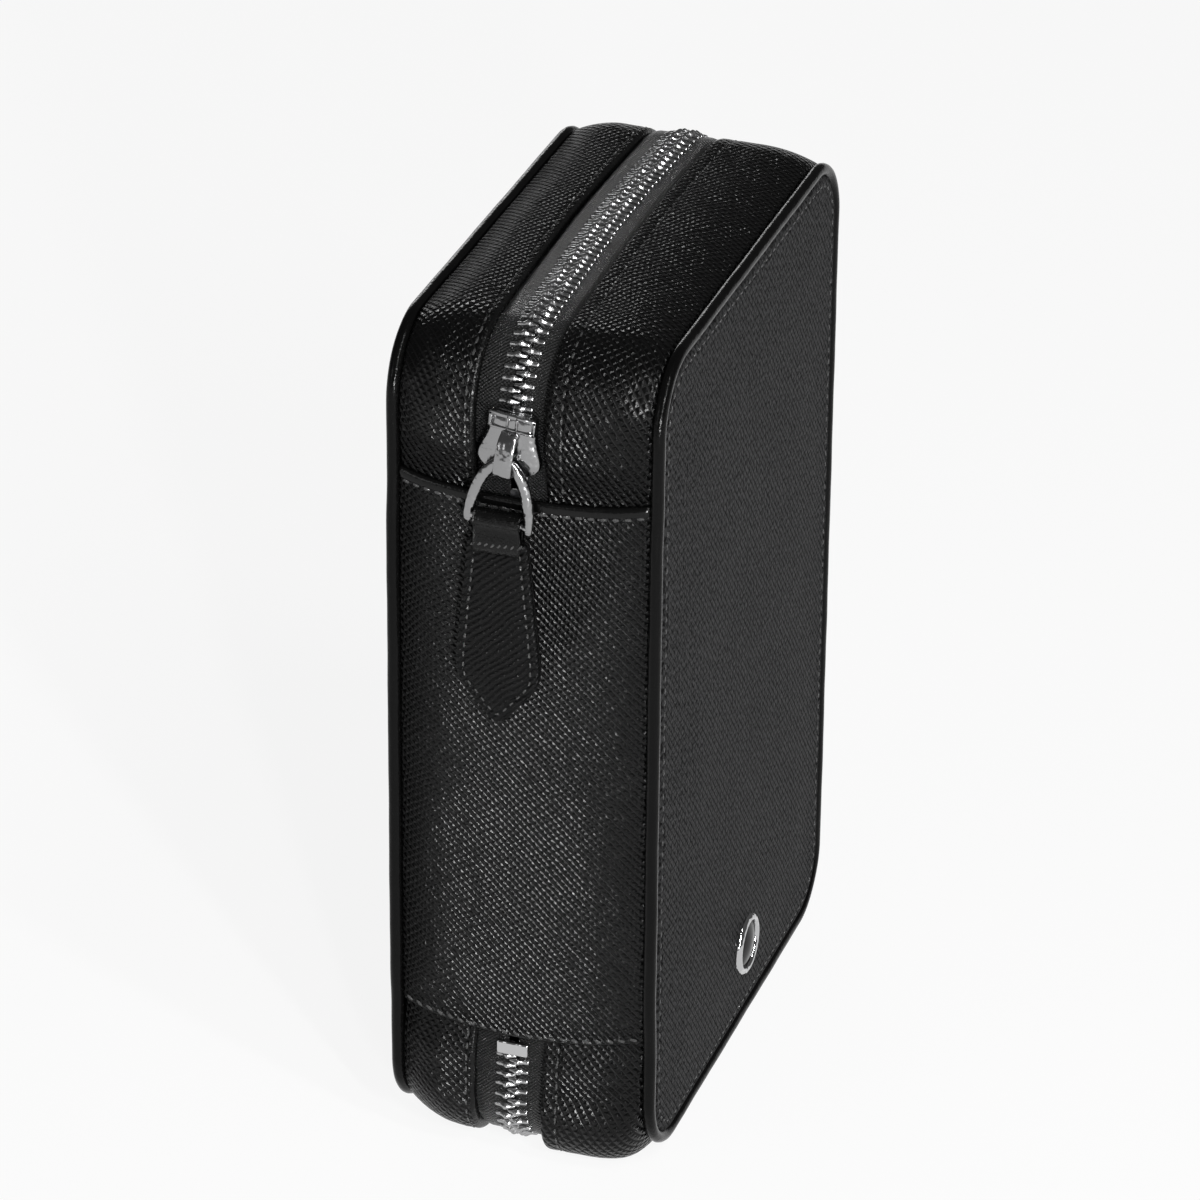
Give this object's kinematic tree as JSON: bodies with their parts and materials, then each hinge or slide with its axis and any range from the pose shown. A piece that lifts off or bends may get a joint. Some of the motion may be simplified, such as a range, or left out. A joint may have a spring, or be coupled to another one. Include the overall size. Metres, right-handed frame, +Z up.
{
  "type": "zip-around pen case",
  "caption": "Upright leather clamshell case for fountain pens, with piped faces, a spine panel, a metal zip round the edge, and a slider with a ring and a pointed leather pull.",
  "frame": {"origin": "centre of the closed case's bounding box, on the plane it stands on", "axes": "+Z up the standing case, +Y toward the back half, -Y toward the front half with the metal button, -X toward the spine, the slider and the pull"},
  "size_m": [0.1142, 0.0533, 0.1701],
  "materials": {
    "grained_leather": "semi-gloss cross-hatched grain",
    "piping_leather": "smooth gloss",
    "smooth_leather": "smooth satin",
    "board": "bare grey board",
    "lining": "short velvet",
    "tray_cloth": "short velvet over foam",
    "elastic": "ribbed elastic",
    "zip_tape": "woven tape",
    "zip_metal": "polished nickel",
    "polished_metal": "polished nickel"
  },
  "bodies": {
    "back_half": {"back_panel": "grained_leather", "back_piping": "piping_leather", "back_gusset": "grained_leather", "back_spine_edge": "grained_leather", "back_panel_board": "board", "back_wall_board": "board", "back_panel_lining": "lining", "back_wall_lining": "lining", "back_zip_tape": "zip_tape", "back_zip_teeth": "zip_metal", "back_pen_pad": "tray_cloth", "back_upper_strap": "elastic", "back_lower_strap": "elastic"},
    "spine": {"spine_strip": "grained_leather", "spine_board": "board", "spine_lining": "lining", "zip_head_tape": "zip_tape", "zip_head_teeth": "zip_metal", "zip_top_stops": "zip_metal", "zip_foot_tape": "zip_tape", "zip_foot_teeth": "zip_metal", "zip_bottom_stop": "polished_metal"},
    "front_half": {"front_panel": "grained_leather", "front_piping": "piping_leather", "front_gusset": "grained_leather", "front_spine_edge": "grained_leather", "front_panel_board": "board", "front_wall_board": "board", "front_panel_lining": "lining", "front_wall_lining": "lining", "front_zip_tape": "zip_tape", "front_zip_teeth": "zip_metal", "front_pen_pad": "tray_cloth", "front_upper_strap": "elastic", "front_lower_strap": "elastic", "emblem_rim": "polished_metal", "emblem_dome": "polished_metal"},
    "divider": {"divider_page": "lining"},
    "slider": {"slider_body": "polished_metal", "slider_bridge": "polished_metal"},
    "ring": {"pull_ring": "polished_metal"},
    "pull": {"pull_loop": "smooth_leather", "pull_outer_leather": "grained_leather", "pull_inner_leather": "smooth_leather"}
  },
  "joints": [
    {"name": "spine_fold_back", "type": "hinge", "parent": "back_half", "child": "spine", "pos_m": [-0.0526, 0.0112, 0.08505], "axis": [0, 0, 1], "range_deg": [-90, 0]},
    {"name": "spine_fold_front", "type": "hinge", "parent": "spine", "child": "front_half", "pos_m": [-0.0526, -0.008, 0.08505], "axis": [0, 0, 1], "range_deg": [-90, 0]},
    {"name": "divider_swing", "type": "hinge", "parent": "spine", "child": "divider", "pos_m": [-0.0488, 0.0016, 0.08505], "axis": [0, 0, 1], "range_deg": [0, 72]},
    {"name": "slider_travel", "type": "hinge", "parent": "spine", "child": "slider", "pos_m": [-0.0344, 0.0016, 0.1509], "axis": [0, 1, 0], "range_deg": [0, 90], "deforming": ["front_zip_tape", "back_zip_tape", "front_zip_teeth", "back_zip_teeth", "zip_head_tape", "zip_head_teeth"]},
    {"name": "ring_swing", "type": "hinge", "parent": "slider", "child": "ring", "pos_m": [-0.0553, 0.0016, 0.14775], "axis": [0, 1, 0], "range_deg": [0, 115]},
    {"name": "pull_swing", "type": "hinge", "parent": "ring", "child": "pull", "pos_m": [-0.0553, 0.0016, 0.13635], "axis": [0, 1, 0], "range_deg": [0, 50]}
  ],
  "couplings": [
    {"joint": "spine_fold_front", "follows": "spine_fold_back", "ratio": 1},
    {"joint": "divider_swing", "follows": "spine_fold_back", "ratio": -0.8}
  ]
}
